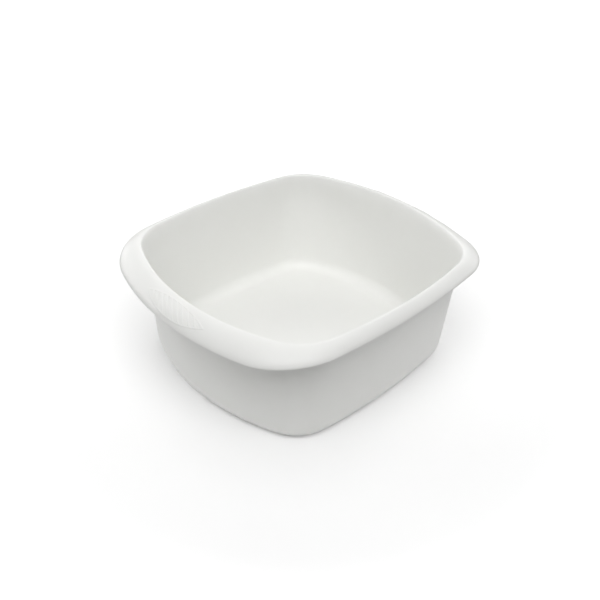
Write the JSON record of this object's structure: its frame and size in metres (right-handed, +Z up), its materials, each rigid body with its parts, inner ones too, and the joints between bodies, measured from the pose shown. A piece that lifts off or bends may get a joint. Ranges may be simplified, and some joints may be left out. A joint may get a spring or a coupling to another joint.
{
  "type": "washing up bowl",
  "caption": "White moulded plastic washing up bowl: a bowed rectangle with round corners, a turned-down rim and a deep flange with a ribbed grip at each end.",
  "frame": {"origin": "middle of the base, on the surface that the bowl stands on", "axes": "+Z up, X along the length with a grip at each end, Y across the width"},
  "size_m": [0.398, 0.343, 0.145],
  "materials": {
    "white_plastic": "glossy moulded polypropylene, opaque off-white, smooth inside and out"
  },
  "bodies": {
    "root": {"bowl": "white_plastic"}
  },
  "joints": []
}
